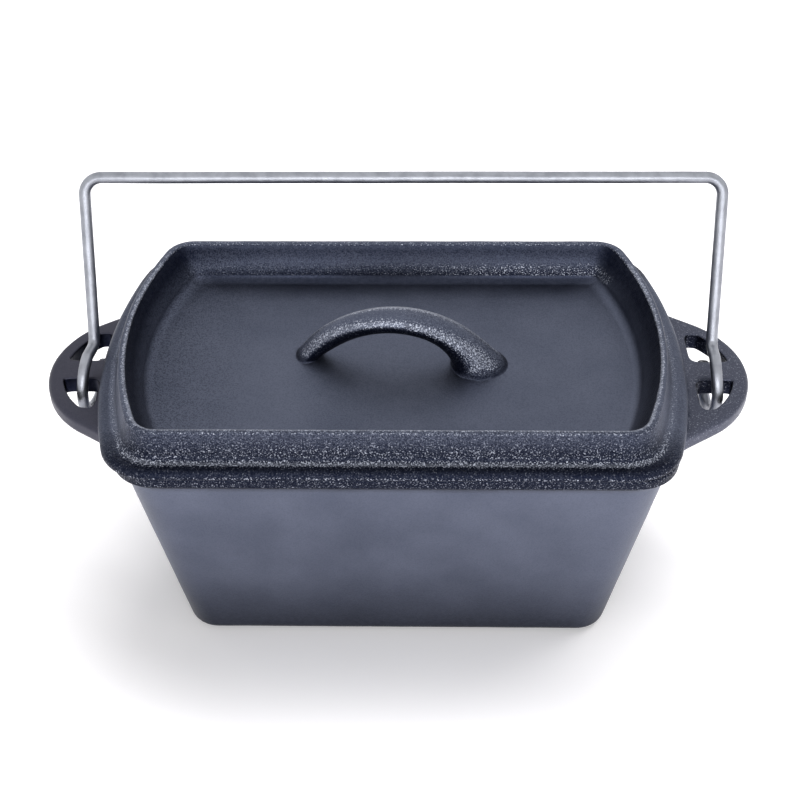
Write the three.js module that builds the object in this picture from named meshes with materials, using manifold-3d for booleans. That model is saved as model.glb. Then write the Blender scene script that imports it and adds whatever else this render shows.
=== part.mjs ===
// Bread pot: a cast-iron loaf pot with two pierced ears, a cast lid with its own
// arch handle, and a wire bail that hooks round the ears.
// Millimetres, +Z up, +X along the pot, origin on the table under the pot's middle.
import * as THREE from 'three';
import { mergeVertices } from 'three/addons/utils/BufferGeometryUtils.js';
import Module from 'manifold-3d';

const wasm = await Module();
wasm.setup();

// Pot casting
const potHeight = 135.6;         // table to the top of the rim
const potHalfLength = 146.3;     // outside, just under the rim band
const potHalfWidth = 88.2;
const potDraftDegrees = 9;       // lean of the walls, so the pot leaves its mould
const potWall = 4.6;
const potFloor = 5.5;
const potEndBow = 19;            // how far the short ends bulge past their corners
const potCornerRadius = 22;      // in plan, at the rim
const potFootCornerRadius = 15;  // in plan, at the foot
const potFootFillet = 6.5;       // between base and walls
const potFloorFillet = 9;        // inside, between floor and walls
const rimBand = 6.5;             // height of the thick band round the mouth
const rimProud = 3.6;            // how far the band stands out from the wall
const rimRound = 1.6;            // rounding of the band's edges

// Ears, one cast plate at each end with two holes and a bridge between them
const earDrop = 6.2;             // rim down to the plate's upper face
const earThickness = 10.4;
const earRadius = 50;            // of the rounded outer edge, seen from above
const earFlankDegrees = 56;      // where the round edge runs on as a straight flank
const earFlankRun = 34;
const earEdgeRound = 3;
const earBridge = 15.5;          // width of the bar that the bail hangs on
const earBorder = 8.5;           // metal left outside the holes
const earHoleGap = 1.7;          // holes start this far past the lid's reach
const earHoleSpare = 10.5;       // length of hole left past the hook
const earHoleCorner = 5.5;

// Lid casting
const lidSeatGap = 0.3;          // lid flange above the pot's rim
const lidEndOverhang = 1.1;      // flange past the rim at the ends
const lidSideOverhang = 1.6;     // and at the sides
const lidEndBow = 16.5;
const lidCornerRadius = 16;
const lidFlangeReach = 11.4;     // flange edge past the lip
const lidFlangeThickness = 5;
const lidFlangeRound = 3.4;
const lidWallHeight = 15.7;      // lip above the flange
const lidWallLean = 2;           // wall foot past the lip
const lidWallFillet = 2.6;
const lidLip = 3.8;              // thickness of the lip
const lidLipRound = 1.1;
const lidTrayLean = 6.5;         // inner wall's lean from lip to floor
const lidTrayFillet = 5;
const lidPlate = 4.6;            // thickness of the tray floor
const lidPlugDepth = 4.1;        // sunk part of the lid, below the flange
const lidPlugClearance = 2.8;    // between it and the pot's mouth
const lidPlugRound = 2.5;
const lidPlayShare = 0.7;        // the lid lies this far into its side play

// Arch handle cast on the lid
const handleHalfSpan = 46.2;     // middle of the lid to the middle of a foot
const handleRise = 25.4;         // tray floor to the middle of the grip
const handleNarrowWidth = 11.5;  // across the grip at its left end
const handleWideWidth = 22;      // and at its right end
const handleThickness = 12.6;
const handleNarrowFlare = 5;     // what the left foot gains in width near the floor
const handleWideFlare = 14;      // and the right foot
const handleFlareShare = 0.55;   // how much of it the right foot also gains in thickness
const handleNarrowGain = -5;     // what the left foot gains on the arch's inner side
const handleWideGain = 23;       // and the right foot
const handleSideShift = 2.5;     // the arch is cast a little off the middle of the lid
const handleTurnDegrees = -5;    // turned a little, seen from above
const handleRootDepth = 3;       // how far the feet run into the tray floor
const handleRunOnShare = 2;      // root depths that the arch runs on for, to be cut flat
const handleFlarePower = 5;      // the higher, the nearer to the floor the feet flare
const handleGainPower = 2.6;     // the same for the gain on the inner side

// Wire bail
const wireDiameter = 6;
const bailClearance = 10.1;      // top bar past the lid's flange when it lies level
const bailLeanDegrees = 20.4;    // how far it leans back where it rests
const bailCornerRadius = 9;
const bailSideShift = 2.9;       // the hooks have slipped this far along the bridges
const hookSlack = 6.75;          // free space between the bridge and the loop
const hookInnerSpare = 0.3;      // free space towards the pot in the ear's holes
const hookOuterSpare = 2.8;      // and towards the ear's tip
const hookBendRadius = 6;        // from the shank into the loop
const hookEndDegrees = 352;      // where the loop ends, in the rear hole
const hookOutboard = 5.4;        // most that a loop swings away from the pot
const hookRightShares = [0, 0, 0.06, 0.24, 0.26, 0.2, 0.1, 0.02, 0];
const hookLeftShares = [0.12, 0.45, 0.72, 0.9, 1, 0.85, 0.5, 0.2, 0];

// Most that a rounding takes of the wall that it lies on, and of a corner's shorter side
const roundLimitShare = 0.9;
const cornerLimitShare = 0.45;

// Fineness of the facets
const endArcSteps = 10;
const cornerArcSteps = 5;
const filletSteps = 3;
const earArcSteps = 16;
const wireSides = 10;
const handleSteps = 20;
const handleSides = 14;
const bendSteps = 5;
const loopSteps = 3;             // between two of a hook's side shares
const bendTakes = 3;             // of the loop's points, which the shank's bend replaces
const cutOverrun = 10;

const potDraft = Math.tan(THREE.MathUtils.degToRad(potDraftDegrees));
const wireRadius = wireDiameter / 2;
const rimBottom = potHeight - rimBand;

// Lid, from the rim that it sits on
const lidUnder = potHeight + lidSeatGap;
const lidFlangeTop = lidUnder + lidFlangeThickness;
const lidTop = lidFlangeTop + lidWallHeight;
const plateUnder = lidUnder - lidPlugDepth;
const trayFloor = plateUnder + lidPlate;
const flangeHalfLength = potHalfLength + rimProud + lidEndOverhang;
const flangeHalfWidth = potHalfWidth + rimProud + lidSideOverhang;
const lidHalfLength = flangeHalfLength - lidFlangeReach;
const lidHalfWidth = flangeHalfWidth - lidFlangeReach;
const lidShiftX = -lidPlayShare * lidPlugClearance;

// Hooks and ears, each from the other's wire, bridge and holes
const earTop = potHeight - earDrop;
const earMiddleZ = earTop - earThickness / 2;
const earHoleInnerX = flangeHalfLength + lidPlugClearance + earHoleGap;
const hookRadius = earBridge / 2 + hookSlack + wireRadius;
const earHoleEndY = hookRadius + wireRadius + earHoleSpare;
const bailHalfSpan = earHoleInnerX + hookInnerSpare + bailSideShift + wireRadius;
const bailHeight = flangeHalfWidth + bailClearance + wireRadius;
const hookRightReach = hookOutboard * Math.max(...hookRightShares) + bailSideShift;
const hookLeftReach = hookOutboard * Math.max(...hookLeftShares) - bailSideShift;
const hookReachX = bailHalfSpan + Math.max(hookRightReach, hookLeftReach) + wireRadius;
const earHoleRadius = earRadius - earBorder;
const earHoleBack = Math.sqrt(earHoleRadius ** 2 - hookRadius ** 2);
const earCentreX = hookReachX + hookOuterSpare - earHoleBack;
const hookStart = Math.PI / 2 - THREE.MathUtils.degToRad(bailLeanDegrees);

// Plan outline with straight long sides, bowed short ends and round corners,
// anticlockwise from the middle of the +X end.
function loafOutline(halfLength, halfWidth, endBow, cornerRadius) {
  const endRadius = (halfWidth * halfWidth + endBow * endBow) / (2 * endBow);
  const endCentre = halfLength - endRadius;
  const cornerY = halfWidth - cornerRadius;
  const cornerX = endCentre + Math.sqrt((endRadius - cornerRadius) ** 2 - cornerY ** 2);
  const turn = Math.atan2(cornerY, cornerX - endCentre);
  const quarter = [];
  for (let i = 0; i < endArcSteps; i += 1) {
    const angle = (turn * i) / endArcSteps;
    quarter.push([endCentre + endRadius * Math.cos(angle), endRadius * Math.sin(angle)]);
  }
  for (let i = 0; i <= cornerArcSteps; i += 1) {
    const angle = turn + ((Math.PI / 2 - turn) * i) / cornerArcSteps;
    quarter.push([cornerX + cornerRadius * Math.cos(angle), cornerY + cornerRadius * Math.sin(angle)]);
  }
  const back = quarter.map(([x, y]) => [-x, y]).reverse();
  const half = [...quarter, ...back];
  const front = half.slice(1, -1).map(([x, y]) => [x, -y]).reverse();
  return [...half, ...front];
}

// Closed solid through rings of points that all have the same count
function loft(rings) {
  const count = rings[0].length;
  const positions = [];
  const index = [];
  for (const ring of rings) {
    for (const point of ring) {
      positions.push(point.x, point.y, point.z);
    }
  }
  for (let level = 0; level + 1 < rings.length; level += 1) {
    for (let i = 0; i < count; i += 1) {
      const next = (i + 1) % count;
      const low = level * count;
      const high = low + count;
      index.push(low + i, low + next, high + next, low + i, high + next, high + i);
    }
  }
  addCap(positions, index, rings[0], 0, true);
  addCap(positions, index, rings[rings.length - 1], (rings.length - 1) * count, false);
  const geometry = new THREE.BufferGeometry();
  geometry.setAttribute('position', new THREE.Float32BufferAttribute(positions, 3));
  geometry.setIndex(index);
  return geometry;
}

function addCap(positions, index, ring, first, facesBack) {
  const middle = new THREE.Vector3();
  ring.forEach((point) => middle.add(point));
  middle.divideScalar(ring.length);
  const hub = positions.length / 3;
  positions.push(middle.x, middle.y, middle.z);
  for (let i = 0; i < ring.length; i += 1) {
    const here = first + i;
    const next = first + ((i + 1) % ring.length);
    index.push(hub, facesBack ? next : here, facesBack ? here : next);
  }
}

function toSolid(geometry) {
  geometry.deleteAttribute('normal');
  geometry.deleteAttribute('uv');
  const merged = mergeVertices(geometry);
  return new wasm.Manifold(new wasm.Mesh({
    numProp: 3,
    vertProperties: new Float32Array(merged.attributes.position.array),
    triVerts: new Uint32Array(merged.index.array),
  }));
}

function toGeometry(solid) {
  const mesh = solid.getMesh();
  const geometry = new THREE.BufferGeometry();
  geometry.setAttribute('position', new THREE.Float32BufferAttribute(mesh.vertProperties, 3));
  geometry.setIndex(Array.from(mesh.triVerts));
  geometry.computeVertexNormals();
  return geometry;
}

// Points of an arc in the (offset, height) plane of a wall's section
function sectionArc(centreOffset, centreZ, radius, fromDegrees, toDegrees) {
  const points = [];
  for (let i = 0; i <= filletSteps; i += 1) {
    const degrees = fromDegrees + ((toDegrees - fromDegrees) * i) / filletSteps;
    const angle = THREE.MathUtils.degToRad(degrees);
    points.push([centreOffset + radius * Math.cos(angle), centreZ + radius * Math.sin(angle)]);
  }
  return points;
}

// Rings of the pot for a section given as (offset from the outer wall's top, height)
function potRings(section) {
  return section.map(([offset, z]) => {
    const depthShare = THREE.MathUtils.clamp((rimBottom - z) / rimBottom, 0, 1);
    const corner = THREE.MathUtils.lerp(potCornerRadius, potFootCornerRadius, depthShare);
    const outline = loafOutline(potHalfLength + offset, potHalfWidth + offset, potEndBow, corner);
    return outline.map(([x, y]) => new THREE.Vector3(x, y, z));
  });
}

function wallOffset(z) {
  return -(rimBottom - z) * potDraft;
}

function potOuterSolid() {
  const lean = potDraftDegrees;
  const footEndZ = potFootFillet * (1 - Math.sin(THREE.MathUtils.degToRad(lean)));
  const footCentre = wallOffset(footEndZ) - potFootFillet * Math.cos(THREE.MathUtils.degToRad(lean));
  return toSolid(loft(potRings([
    ...sectionArc(footCentre, potFootFillet, potFootFillet, -90, -lean),
    [wallOffset(rimBottom - rimProud), rimBottom - rimProud],
    ...sectionArc(rimProud - rimRound, rimBottom + rimRound, rimRound, -90, 0),
    ...sectionArc(rimProud - rimRound, potHeight - rimRound, rimRound, 0, 90),
  ])));
}

function potHollowSolid() {
  const lean = potDraftDegrees;
  const filletEndZ = potFloor + potFloorFillet * (1 - Math.sin(THREE.MathUtils.degToRad(lean)));
  const reach = potFloorFillet * Math.cos(THREE.MathUtils.degToRad(lean));
  const filletCentre = wallOffset(filletEndZ) - potWall - reach;
  return toSolid(loft(potRings([
    ...sectionArc(filletCentre, potFloor + potFloorFillet, potFloorFillet, -90, -lean),
    [-potWall, rimBottom],
    [-potWall, potHeight - rimRound],
    [-potWall + rimRound, potHeight],
    [-potWall + rimRound, potHeight + cutOverrun],
  ])));
}

// Half-moon plate at the +X end, with its edges rounded in thin layers
function earPlateSolid() {
  const flank = THREE.MathUtils.degToRad(earFlankDegrees);
  const ring = (inset, z) => {
    const radius = earRadius - inset;
    const points = [];
    for (let i = 0; i <= earArcSteps; i += 1) {
      const angle = THREE.MathUtils.lerp(-flank, flank, i / earArcSteps);
      points.push([earCentreX + radius * Math.cos(angle), radius * Math.sin(angle)]);
    }
    const [tangentX, tangentY] = points[points.length - 1];
    const rootX = tangentX - earFlankRun * Math.sin(flank);
    const rootY = tangentY + earFlankRun * Math.cos(flank);
    points.push([rootX, rootY], [rootX, -rootY]);
    return points.map(([x, y]) => new THREE.Vector3(x, y, z));
  };
  const edgeZ = earTop - earThickness + earEdgeRound;
  const edges = [
    ...sectionArc(-earEdgeRound, edgeZ, earEdgeRound, -90, 0),
    ...sectionArc(-earEdgeRound, earTop - earEdgeRound, earEdgeRound, 0, 90),
  ];
  return toSolid(loft(edges.map(([offset, z]) => ring(-offset, z))));
}

// One hole of an ear: flat towards the bridge and the pot, round along the ear's edge
function earHoleSolid(side) {
  const nearY = earBridge / 2;
  const edge = earHoleRadius;
  const fromAngle = Math.asin(nearY / edge);
  const toAngle = Math.asin(earHoleEndY / edge);
  const corners = [{ x: earHoleInnerX, y: nearY, round: earHoleCorner }];
  for (let i = 0; i <= filletSteps; i += 1) {
    const angle = THREE.MathUtils.lerp(fromAngle, toAngle, i / filletSteps);
    const round = i === 0 || i === filletSteps ? earHoleCorner : 0;
    corners.push({ x: earCentreX + edge * Math.cos(angle), y: edge * Math.sin(angle), round });
  }
  corners.push({ x: earHoleInnerX, y: earHoleEndY, round: earHoleCorner });
  const shape = new THREE.Shape();
  corners.forEach((corner, i) => {
    const before = corners[(i + corners.length - 1) % corners.length];
    const after = corners[(i + 1) % corners.length];
    const enter = towards(corner, before, corner.round);
    const leave = towards(corner, after, corner.round);
    if (i === 0) {
      shape.moveTo(enter.x, enter.y * side);
    } else {
      shape.lineTo(enter.x, enter.y * side);
    }
    if (corner.round > 0) {
      shape.quadraticCurveTo(corner.x, corner.y * side, leave.x, leave.y * side);
    }
  });
  const depth = earThickness + 2 * cutOverrun;
  const options = { depth, bevelEnabled: false, curveSegments: filletSteps };
  const geometry = new THREE.ExtrudeGeometry(shape, options);
  geometry.translate(0, 0, earTop - earThickness - cutOverrun);
  return toSolid(geometry);
}

function towards(from, to, distance) {
  const length = Math.hypot(to.x - from.x, to.y - from.y);
  const share = Math.min(distance / length, cornerLimitShare);
  return { x: from.x + (to.x - from.x) * share, y: from.y + (to.y - from.y) * share };
}

function turnedHalf(solid) {
  return solid.rotate([0, 0, 180]);
}

function makePot() {
  const plate = earPlateSolid();
  const holes = earHoleSolid(1).add(earHoleSolid(-1));
  const ear = plate.subtract(holes);
  return toGeometry(potOuterSolid().add(ear).add(turnedHalf(ear)).subtract(potHollowSolid()));
}

function lidRings(section) {
  return section.map(([offset, z]) => {
    const corner = lidCornerRadius + offset;
    const outline = loafOutline(lidHalfLength + offset, lidHalfWidth + offset, lidEndBow, corner);
    return outline.map(([x, y]) => new THREE.Vector3(x, y, z));
  });
}

// Rings of the lid's sunk part, which follows the pot's mouth
function plugRings(section) {
  const inset = potWall + lidPlugClearance;
  const halfLength = potHalfLength - inset;
  const halfWidth = potHalfWidth - inset;
  return section.map(([offset, z]) => {
    const outline = loafOutline(halfLength + offset, halfWidth + offset, potEndBow, potCornerRadius);
    return outline.map(([x, y]) => new THREE.Vector3(x, y, z));
  });
}

// The lid's outside: plug, flange, raised wall and lip
function lidOuterSolid() {
  const plugRound = Math.min(lidPlugRound, lidPlugDepth * roundLimitShare);
  const flangeRound = Math.min(lidFlangeRound, (lidFlangeThickness - lidLipRound) * roundLimitShare);
  const flangeEdge = lidFlangeReach - flangeRound;
  const wallFoot = lidWallLean + lidWallFillet;
  const plug = plugRings([
    ...sectionArc(-plugRound, plateUnder + plugRound, plugRound, -90, 0),
    [0, lidUnder],
  ]);
  const upper = lidRings([
    [lidFlangeReach - lidLipRound, lidUnder],
    [lidFlangeReach, lidUnder + lidLipRound],
    ...sectionArc(flangeEdge, lidFlangeTop - flangeRound, flangeRound, 0, 90),
    ...sectionArc(wallFoot, lidFlangeTop + lidWallFillet, lidWallFillet, 270, 180),
    [0, lidTop - lidLipRound],
    [-lidLipRound, lidTop],
  ]);
  return toSolid(loft([...plug, ...upper]));
}

function lidTraySolid() {
  const floorEdge = -lidLip - lidTrayLean;
  return toSolid(loft(lidRings([
    ...sectionArc(floorEdge - lidTrayFillet, trayFloor + lidTrayFillet, lidTrayFillet, -90, 0),
    [-lidLip, lidTop - lidLipRound],
    [-lidLip + lidLipRound, lidTop],
    [-lidLip + lidLipRound, lidTop + cutOverrun],
  ])));
}

// Arch handle: oval rings along an arc of a circle, wider at the feet
function handleSolid() {
  const arcRadius = (handleHalfSpan ** 2 + handleRise ** 2) / (2 * handleRise);
  const arcCentreZ = trayFloor + handleRise - arcRadius;
  const footTurn = Math.asin(handleHalfSpan / arcRadius);
  const endTurn = footTurn + handleRunOnShare * handleRootDepth / arcRadius;
  const rings = [];
  for (let i = 0; i <= handleSteps; i += 1) {
    const turn = THREE.MathUtils.lerp(-endTurn, endTurn, i / handleSteps);
    const share = i / handleSteps;
    const footShare = Math.abs(turn / endTurn) ** handleFlarePower;
    const flare = footShare * THREE.MathUtils.lerp(handleNarrowFlare, handleWideFlare, share);
    const gainShare = Math.abs(turn / endTurn) ** handleGainPower;
    const gain = gainShare * THREE.MathUtils.lerp(handleNarrowGain, handleWideGain, share);
    const width = THREE.MathUtils.lerp(handleNarrowWidth, handleWideWidth, share) + flare;
    const wideFlare = footShare * handleWideFlare * share;
    const thickness = handleThickness + wideFlare * handleFlareShare + gain;
    const up = new THREE.Vector3(Math.sin(turn), 0, Math.cos(turn));
    const middle = up.clone().multiplyScalar(arcRadius - gain / 2);
    middle.z += arcCentreZ;
    const ring = [];
    for (let j = 0; j < handleSides; j += 1) {
      const around = (2 * Math.PI * j) / handleSides;
      const point = middle.clone().addScaledVector(up, (thickness / 2) * Math.sin(around));
      point.y += (width / 2) * Math.cos(around);
      ring.push(point);
    }
    rings.push(ring);
  }
  const geometry = loft(rings);
  geometry.rotateZ(THREE.MathUtils.degToRad(handleTurnDegrees));
  geometry.translate(handleSideShift, 0, 0);
  const cutDepth = handleRise + cutOverrun;
  const below = new THREE.BoxGeometry(2 * lidHalfLength, 2 * lidHalfWidth, cutDepth);
  below.translate(0, 0, trayFloor - handleRootDepth - cutDepth / 2);
  return toSolid(geometry).subtract(toSolid(below));
}

function makeLid() {
  return toGeometry(lidOuterSolid().subtract(lidTraySolid()).add(handleSolid()));
}

// Round wire through a list of points, with flat ends
function sweepWire(points) {
  const rings = [];
  let side = new THREE.Vector3(0, 1, 0);
  points.forEach((point, i) => {
    const before = points[Math.max(i - 1, 0)];
    const after = points[Math.min(i + 1, points.length - 1)];
    const along = after.clone().sub(before).normalize();
    side = side.clone().addScaledVector(along, -side.dot(along)).normalize();
    const up = along.clone().cross(side);
    const ring = [];
    for (let j = 0; j < wireSides; j += 1) {
      const turn = (2 * Math.PI * j) / wireSides;
      const spoke = side.clone().multiplyScalar(Math.cos(turn)).addScaledVector(up, Math.sin(turn));
      ring.push(point.clone().addScaledVector(spoke, wireRadius));
    }
    rings.push(ring);
  });
  return loft(rings);
}

// Rounded corner between two straight runs, as points from one tangent to the other
function bendPoints(from, corner, to, radius) {
  const backward = from.clone().sub(corner).normalize();
  const forward = to.clone().sub(corner).normalize();
  const halfAngle = backward.angleTo(forward) / 2;
  const reach = radius / Math.tan(halfAngle);
  const start = corner.clone().addScaledVector(backward, reach);
  const end = corner.clone().addScaledVector(forward, reach);
  const bisector = backward.clone().add(forward).normalize();
  const centre = corner.clone().addScaledVector(bisector, radius / Math.sin(halfAngle));
  const startSpoke = start.clone().sub(centre);
  const endSpoke = end.clone().sub(centre);
  const sweep = startSpoke.angleTo(endSpoke);
  const points = [];
  for (let i = 0; i <= bendSteps; i += 1) {
    const share = i / bendSteps;
    const point = centre.clone();
    point.addScaledVector(startSpoke, Math.sin((1 - share) * sweep) / Math.sin(sweep));
    point.addScaledVector(endSpoke, Math.sin(share * sweep) / Math.sin(sweep));
    points.push(point);
  }
  return points;
}

// Half of the bail, from the cut end of the hook to the middle of the top bar,
// in its own upright frame with the pivot at the origin and Y to the rear
function halfBailPoints(sideShares) {
  const loopPoints = [];
  const last = sideShares.length - 1;
  const end = THREE.MathUtils.degToRad(hookEndDegrees);
  sideShares.forEach((sideShare, i) => {
    const angle = THREE.MathUtils.lerp(hookStart, end, i / last);
    loopPoints.push(new THREE.Vector3(
      bailHalfSpan + hookOutboard * sideShare,
      hookRadius * Math.cos(angle),
      hookRadius * Math.sin(angle),
    ));
  });
  const curve = new THREE.CatmullRomCurve3(loopPoints, false, 'centripetal');
  const loop = curve.getPoints(loopSteps * last);
  const bendAt = loop[0];
  const lean = THREE.MathUtils.degToRad(bailLeanDegrees);
  const corner = new THREE.Vector3(bailHalfSpan, bailHeight * Math.sin(lean), bailHeight * Math.cos(lean));
  const middle = new THREE.Vector3(0, corner.y, corner.z);
  const lower = bendPoints(loop[bendTakes - 1], bendAt, corner, hookBendRadius);
  const upper = bendPoints(bendAt, corner, middle, bailCornerRadius);
  return [...loop.slice(bendTakes).reverse(), ...lower, ...upper];
}

function makeBail() {
  const right = halfBailPoints(hookRightShares);
  const turned = halfBailPoints(hookLeftShares);
  const left = turned.map((point) => new THREE.Vector3(-point.x, point.y, point.z)).reverse();
  return sweepWire([...right, ...left]);
}

function material(color, roughness, metalness) {
  return new THREE.MeshStandardMaterial({ color, roughness, metalness });
}

function piece(name, geometry, look) {
  const mesh = new THREE.Mesh(geometry, look);
  mesh.name = name;
  return mesh;
}

const breadPot = new THREE.Group();
breadPot.add(piece('pot_body', makePot(), material(0x3a4150, 0.55, 0.6)));

const lid = piece('lid', makeLid(), material(0x3c4352, 0.55, 0.6));
lid.position.x = lidShiftX;
breadPot.add(lid);

const bail = piece('bail_handle', makeBail(), material(0xa9adb3, 0.35, 0.9));
bail.position.set(bailSideShift, 0, earMiddleZ);
breadPot.add(bail);

export default breadPot;
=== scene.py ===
import math

import bmesh
import bpy
from mathutils import Matrix, Vector, geometry, noise


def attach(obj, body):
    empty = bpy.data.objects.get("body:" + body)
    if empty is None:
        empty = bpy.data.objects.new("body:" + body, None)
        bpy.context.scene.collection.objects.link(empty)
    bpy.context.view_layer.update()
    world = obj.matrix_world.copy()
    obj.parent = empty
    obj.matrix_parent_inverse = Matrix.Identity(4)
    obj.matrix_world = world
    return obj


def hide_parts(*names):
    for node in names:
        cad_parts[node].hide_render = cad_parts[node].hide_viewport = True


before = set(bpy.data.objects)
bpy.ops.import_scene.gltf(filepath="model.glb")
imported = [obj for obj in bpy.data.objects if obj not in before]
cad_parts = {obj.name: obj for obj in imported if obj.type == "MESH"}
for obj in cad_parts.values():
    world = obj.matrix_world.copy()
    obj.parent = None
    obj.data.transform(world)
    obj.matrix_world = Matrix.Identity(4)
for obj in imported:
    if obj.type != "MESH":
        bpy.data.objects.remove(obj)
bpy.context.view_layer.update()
scene = bpy.context.scene
scene.view_settings.view_transform = "Standard"
mm = 0.001
print("frame loaded:", sorted(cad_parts))


# Camera, set to the photograph's viewing angle
cameraSetup = {
    "aim": (-5.8, 0, 127),
    "distance": 731.8,
    "elevation": 39,
    "yaw": 1.6,
    "roll": -0.85,
    "lens": 62.3,
    "sensor": 36,
    "shiftX": 0.0178,
    "shiftY": -0.034,
    "clipStart": 20,
}


def addCamera():
    setup = cameraSetup
    data = bpy.data.cameras.new("camera")
    data.lens = setup["lens"]
    data.sensor_width = setup["sensor"]
    data.shift_x = setup["shiftX"]
    data.shift_y = setup["shiftY"]
    data.clip_start = setup["clipStart"] * mm
    camera = bpy.data.objects.new("camera", data)
    scene.collection.objects.link(camera)
    turn = (
        Matrix.Rotation(math.radians(setup["yaw"]), 4, "Z")
        @ Matrix.Rotation(math.radians(90 - setup["elevation"]), 4, "X")
        @ Matrix.Rotation(math.radians(setup["roll"]), 4, "Z")
    )
    back = turn @ Vector((0, 0, setup["distance"] * mm))
    camera.matrix_world = Matrix.Translation(Vector(setup["aim"]) * mm + back) @ turn
    scene.camera = camera


addCamera()
print("camera set")


# Studio: white surroundings, a soft key lamp above, a long low lamp in front and a pale floor
white = (1, 1, 1, 1)
studio = {
    "worldStrength": 0.43,
    "shownStrength": 1,        # of the surroundings as they are seen and mirrored
    "lamps": (
        # name, power, width, height, place, aim, whether the iron mirrors it
        ("keyLamp", 15.5, 1300, 380, (100, 225, 1000), (0, 0, 60), False),
        ("frontLamp", 7.5, 1400, 200, (80, -1200, 500), (0, 0, 140), True),
    ),
    "floorTone": (0.95, 0.935, 0.95),
    "floorLift": 0.19,         # added for the rays that show it, so that the floor reads white
    "floorSize": 2600,
}


def addNode(tree, kind, **settings):
    node = tree.nodes.new(kind)
    for name, value in settings.items():
        setattr(node, name, value)
    return node


# How much a ray is one that shows the surroundings rather than lights the object
def showingRays(tree):
    kinds = ("Is Camera Ray", "Is Glossy Ray", "Is Transmission Ray")
    path = addNode(tree, "ShaderNodeLightPath")
    total = path.outputs[kinds[0]]
    for kind in kinds[1:]:
        either = addNode(tree, "ShaderNodeMath", operation="MAXIMUM")
        tree.links.new(total, either.inputs[0])
        tree.links.new(path.outputs[kind], either.inputs[1])
        total = either.outputs[0]
    return total


def addWorld():
    world = bpy.data.worlds.new("studio")
    scene.world = world
    world.use_nodes = True
    tree = world.node_tree
    tree.nodes.clear()
    lighting = addNode(tree, "ShaderNodeBackground")
    lighting.inputs["Color"].default_value = white
    lighting.inputs["Strength"].default_value = studio["worldStrength"]
    shown = addNode(tree, "ShaderNodeBackground")
    shown.inputs["Color"].default_value = white
    shown.inputs["Strength"].default_value = studio["shownStrength"]
    mix = addNode(tree, "ShaderNodeMixShader")
    out = addNode(tree, "ShaderNodeOutputWorld")
    tree.links.new(showingRays(tree), mix.inputs[0])
    tree.links.new(lighting.outputs[0], mix.inputs[1])
    tree.links.new(shown.outputs[0], mix.inputs[2])
    tree.links.new(mix.outputs[0], out.inputs["Surface"])


def addLamps():
    for name, power, width, height, place, aim, mirrored in studio["lamps"]:
        data = bpy.data.lights.new(name, "AREA")
        data.shape = "RECTANGLE"
        data.energy = power
        data.size = width * mm
        data.size_y = height * mm
        lamp = bpy.data.objects.new(name, data)
        scene.collection.objects.link(lamp)
        lamp.visible_camera = False
        lamp.visible_glossy = mirrored
        lamp.location = Vector(place) * mm
        lamp.rotation_euler = (Vector(aim) - Vector(place)).to_track_quat("-Z", "Y").to_euler()


def addFloor():
    half = studio["floorSize"] * mm / 2
    mesh = bpy.data.meshes.new("floor")
    corners = [(-half, -half, 0), (half, -half, 0), (half, half, 0), (-half, half, 0)]
    mesh.from_pydata(corners, [], [(0, 1, 2, 3)])
    floor = bpy.data.objects.new("floor", mesh)
    scene.collection.objects.link(floor)
    paper = bpy.data.materials.new("palePaper")
    paper.use_nodes = True
    tree = paper.node_tree
    tree.nodes.clear()
    matt = addNode(tree, "ShaderNodeBsdfDiffuse")
    matt.inputs["Color"].default_value = (*studio["floorTone"], 1)
    glow = addNode(tree, "ShaderNodeEmission")
    glow.inputs["Color"].default_value = white
    lift = addNode(tree, "ShaderNodeMath", operation="MULTIPLY")
    lift.inputs[1].default_value = studio["floorLift"]
    both = addNode(tree, "ShaderNodeAddShader")
    out = addNode(tree, "ShaderNodeOutputMaterial")
    tree.links.new(showingRays(tree), lift.inputs[0])
    tree.links.new(lift.outputs[0], glow.inputs["Strength"])
    tree.links.new(matt.outputs[0], both.inputs[0])
    tree.links.new(glow.outputs[0], both.inputs[1])
    tree.links.new(both.outputs[0], out.inputs["Surface"])
    mesh.materials.append(paper)


addWorld()
addLamps()
addFloor()
print("studio set")


# Seasoned cast iron: slate, satin, with the grain of the sand mould.
# Each casting carries four painted values: grain, how sandy the skin is; then wear together with
# painted highlights, where its edges are rubbed bright and where light caught on edges, faces and
# grains is painted in (past 1 also a painted sheen between the grains); then painted shade, under,
# inside and low on the parts and on sides turned from the lamps; and warmth, a brown cast on thin
# plates.
ironLook = {
    "tone": (0.132, 0.147, 0.202),
    "deepTone": (0.096, 0.109, 0.155),
    # colour of worn edges and of the painted highlights and glints
    "wearAndHighlightTone": (0.5, 0.53, 0.62),
    # colour of the painted shade
    "shadeTone": (0.0045, 0.0065, 0.017),
    "warmTone": (0.07, 0.065, 0.082),
    "metallic": 1,
    "smoothRoughness": 0.42,
    "coarseRoughness": 0.5,
    "clouds": (38, 4, 0.55),      # size, detail and sharpness of each noise
    "sand": (0.75, 2, 0.6),
    "pits": (2.6, 3, 0.6),
    "noiseSpan": (0.3, 0.7),      # noise values that clouds and pits reach
    "sandDepth": 0.5,
    "pitDepth": 0.4,
    "pitShade": (0.85, 1),         # how much of the painted shade stays, by pits
    "sandShade": 0.85,            # how black the painted shade between the grains gets
    "sandDark": (0.56, 0.38),     # noise values where the dark between the grains starts and is full
    "sandBright": (0.5, 0.64),    # and where a grain starts to catch light and is brightest
    "sandSpread": 0.12,           # fewer grains catch it where the wear and painted highlight is slight
    "wearAndHighlightGain": 2.6,              # grains already glint where the wear and painted highlight is slight
    "smoothSheenShare": 0.6,           # how bright the painted sheen between the grains gets where that value is past 1
    "dulling": 0.05,              # roughness that the clouds add or take
}


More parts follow.
